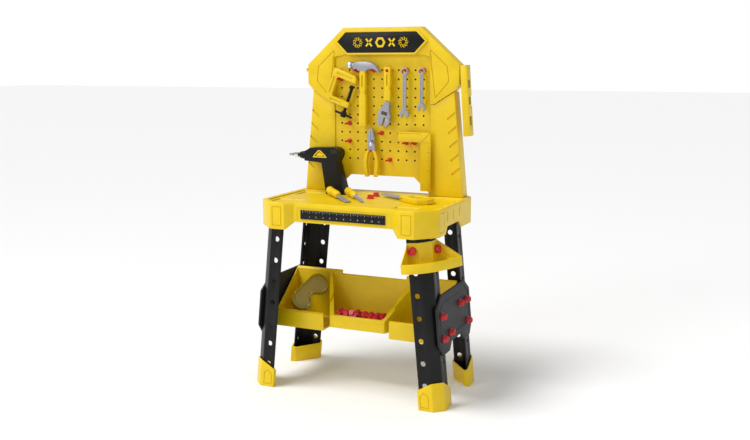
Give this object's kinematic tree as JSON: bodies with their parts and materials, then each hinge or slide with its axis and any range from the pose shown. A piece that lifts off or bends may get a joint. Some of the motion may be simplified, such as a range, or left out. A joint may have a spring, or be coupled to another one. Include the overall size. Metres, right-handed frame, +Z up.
{
  "type": "toy tool bench",
  "caption": "Toy workbench on splayed legs with a perforated back board, storage shelf, corner bin and a set of play hand tools.",
  "frame": {"origin": "middle of the object's box at floor level", "axes": "+Z up, +X to the right of a user who faces the bench, -Y towards the user"},
  "size_m": [0.5703, 0.35, 0.95],
  "materials": {
    "yellow_plastic": "satin moulded",
    "black_plastic": "satin moulded",
    "charcoal_plastic": "matt moulded",
    "red_plastic": "satin moulded",
    "grey_plastic": "satin moulded",
    "amber_plastic": "translucent moulded"
  },
  "bodies": {
    "bench": {"worktop": "yellow_plastic", "ruler_strip": "black_plastic", "leg_front_left": "black_plastic", "foot_front_left": "yellow_plastic", "leg_front_right": "black_plastic", "foot_front_right": "yellow_plastic", "leg_back_left": "black_plastic", "foot_back_left": "yellow_plastic", "leg_back_right": "black_plastic", "foot_back_right": "yellow_plastic", "side_panel_left": "charcoal_plastic", "side_panel_right": "charcoal_plastic", "storage_shelf": "yellow_plastic", "corner_bin": "yellow_plastic", "bin_screw_front": "red_plastic", "bin_screw_side": "red_plastic", "back_panel": "yellow_plastic", "column_left": "yellow_plastic", "column_right": "yellow_plastic", "sign_plate": "black_plastic", "hook_left": "yellow_plastic", "hook_right": "yellow_plastic"},
    "clamp_peg": {"peg_clamp": "red_plastic"},
    "hammer_pegs": {"peg_hammer_left": "red_plastic", "peg_hammer_right": "red_plastic"},
    "adjustable_peg": {"peg_adjustable": "red_plastic"},
    "wrench_large_peg": {"peg_wrench_large": "red_plastic"},
    "wrench_small_peg": {"peg_wrench_small": "red_plastic"},
    "square_pegs": {"peg_square_left": "red_plastic", "peg_square_right": "red_plastic"},
    "pliers_peg": {"peg_pliers": "red_plastic"},
    "spare_peg_1": {"peg_spare_1": "red_plastic"},
    "spare_peg_2": {"peg_spare_2": "red_plastic"},
    "spare_peg_3": {"peg_spare_3": "red_plastic"},
    "spare_peg_4": {"peg_spare_4": "red_plastic"},
    "clamp": {"clamp_frame": "yellow_plastic"},
    "clamp_feed": {"clamp_screw": "black_plastic"},
    "hammer": {"hammer_handle": "yellow_plastic", "hammer_head": "grey_plastic"},
    "adjustable_wrench": {"adjustable_handle": "yellow_plastic", "adjustable_body": "grey_plastic"},
    "wrench_jaw": {"adjustable_jaw": "grey_plastic"},
    "large_wrench": {"wrench_large": "grey_plastic"},
    "small_wrench": {"wrench_small": "grey_plastic"},
    "square": {"try_square": "yellow_plastic"},
    "pliers": {"pliers_arm_left": "grey_plastic"},
    "pliers_arm": {"pliers_arm_right": "grey_plastic"},
    "level": {"spirit_level": "yellow_plastic"},
    "drill": {"drill_body": "black_plastic"},
    "chuck": {"drill_chuck": "black_plastic"},
    "trigger": {"drill_trigger": "black_plastic"},
    "chisel": {"chisel": "yellow_plastic"},
    "screwdriver": {"screwdriver": "yellow_plastic"},
    "saw": {"saw_handle": "yellow_plastic", "saw_blade": "grey_plastic"},
    "nut_1": {"loose_nut_1": "red_plastic"},
    "nut_2": {"loose_nut_2": "red_plastic"},
    "bolts": {"bolt_heap": "red_plastic"},
    "goggles": {"goggles": "amber_plastic"}
  },
  "joints": [
    {"name": "clamp_peg_pull", "type": "slide", "parent": "bench", "child": "clamp_peg", "axis": [0, -1, 0], "range_m": [0, 0.012]},
    {"name": "hammer_pegs_pull", "type": "slide", "parent": "bench", "child": "hammer_pegs", "axis": [0, -1, 0], "range_m": [0, 0.012]},
    {"name": "adjustable_peg_pull", "type": "slide", "parent": "bench", "child": "adjustable_peg", "axis": [0, -1, 0], "range_m": [0, 0.012]},
    {"name": "wrench_large_peg_pull", "type": "slide", "parent": "bench", "child": "wrench_large_peg", "axis": [0, -1, 0], "range_m": [0, 0.012]},
    {"name": "wrench_small_peg_pull", "type": "slide", "parent": "bench", "child": "wrench_small_peg", "axis": [0, -1, 0], "range_m": [0, 0.012]},
    {"name": "square_pegs_pull", "type": "slide", "parent": "bench", "child": "square_pegs", "axis": [0, -1, 0], "range_m": [0, 0.012]},
    {"name": "pliers_peg_pull", "type": "slide", "parent": "bench", "child": "pliers_peg", "axis": [0, -1, 0], "range_m": [0, 0.012]},
    {"name": "spare_peg_1_pull", "type": "slide", "parent": "bench", "child": "spare_peg_1", "axis": [0, -1, 0], "range_m": [0, 0.03]},
    {"name": "spare_peg_2_pull", "type": "slide", "parent": "bench", "child": "spare_peg_2", "axis": [0, -1, 0], "range_m": [0, 0.03]},
    {"name": "spare_peg_3_pull", "type": "slide", "parent": "bench", "child": "spare_peg_3", "axis": [0, -1, 0], "range_m": [0, 0.03]},
    {"name": "spare_peg_4_pull", "type": "slide", "parent": "bench", "child": "spare_peg_4", "axis": [0, -1, 0], "range_m": [0, 0.03]},
    {"name": "clamp_off", "type": "slide", "parent": "clamp_peg", "child": "clamp", "axis": [0, -1, 0], "range_m": [0, 0.06]},
    {"name": "clamp_screw_feed", "type": "slide", "parent": "clamp", "child": "clamp_feed", "axis": [0.3429, 0, 0.9394], "range_m": [-0.01, 0.008]},
    {"name": "hammer_off", "type": "slide", "parent": "hammer_pegs", "child": "hammer", "axis": [0, -1, 0], "range_m": [0, 0.06]},
    {"name": "adjustable_wrench_off", "type": "slide", "parent": "adjustable_peg", "child": "adjustable_wrench", "axis": [0, -1, 0], "range_m": [0, 0.06]},
    {"name": "wrench_jaw_slide", "type": "slide", "parent": "adjustable_wrench", "child": "wrench_jaw", "axis": [0.9553, 0, -0.2955], "range_m": [-0.003, 0.008]},
    {"name": "large_wrench_off", "type": "slide", "parent": "wrench_large_peg", "child": "large_wrench", "axis": [0, -1, 0], "range_m": [0, 0.06]},
    {"name": "small_wrench_off", "type": "slide", "parent": "wrench_small_peg", "child": "small_wrench", "axis": [0, -1, 0], "range_m": [0, 0.06]},
    {"name": "square_off", "type": "slide", "parent": "square_pegs", "child": "square", "axis": [0, -1, 0], "range_m": [0, 0.025]},
    {"name": "pliers_off", "type": "slide", "parent": "pliers_peg", "child": "pliers", "axis": [0, -1, 0], "range_m": [0, 0.0225]},
    {"name": "pliers_open", "type": "hinge", "parent": "pliers", "child": "pliers_arm", "pos_m": [-0.0364, 0.112, 0.638], "axis": [0, 1, 0], "range_deg": [0, 20]},
    {"name": "level_lift", "type": "slide", "parent": "bench", "child": "level", "axis": [0, 0, 1], "range_m": [0, 0.012]},
    {"name": "drill_lift", "type": "slide", "parent": "bench", "child": "drill", "axis": [0, 0, 1], "range_m": [0, 0.06]},
    {"name": "chuck_spin", "type": "hinge", "parent": "drill", "child": "chuck", "pos_m": [-0.2482, 0.094, 0.604], "axis": [1, 0, 0], "continuous": true},
    {"name": "trigger_pull", "type": "slide", "parent": "drill", "child": "trigger", "axis": [1, 0, 0], "range_m": [0, 0.004], "stiffness_N_per_m": 150},
    {"name": "chisel_lift", "type": "slide", "parent": "bench", "child": "chisel", "axis": [0, 0, 1], "range_m": [0, 0.05]},
    {"name": "screwdriver_lift", "type": "slide", "parent": "bench", "child": "screwdriver", "axis": [0, 0, 1], "range_m": [0, 0.05]},
    {"name": "saw_lift", "type": "slide", "parent": "bench", "child": "saw", "axis": [0, 0, 1], "range_m": [0, 0.05]},
    {"name": "nut_1_lift", "type": "slide", "parent": "bench", "child": "nut_1", "axis": [0, 0, 1], "range_m": [0, 0.04]},
    {"name": "nut_2_lift", "type": "slide", "parent": "bench", "child": "nut_2", "axis": [0, 0, 1], "range_m": [0, 0.04]},
    {"name": "bolts_lift", "type": "slide", "parent": "bench", "child": "bolts", "axis": [0, 0, 1], "range_m": [0, 0.05]},
    {"name": "goggles_lift", "type": "slide", "parent": "bench", "child": "goggles", "axis": [0, 0, 1], "range_m": [0, 0.06]}
  ]
}
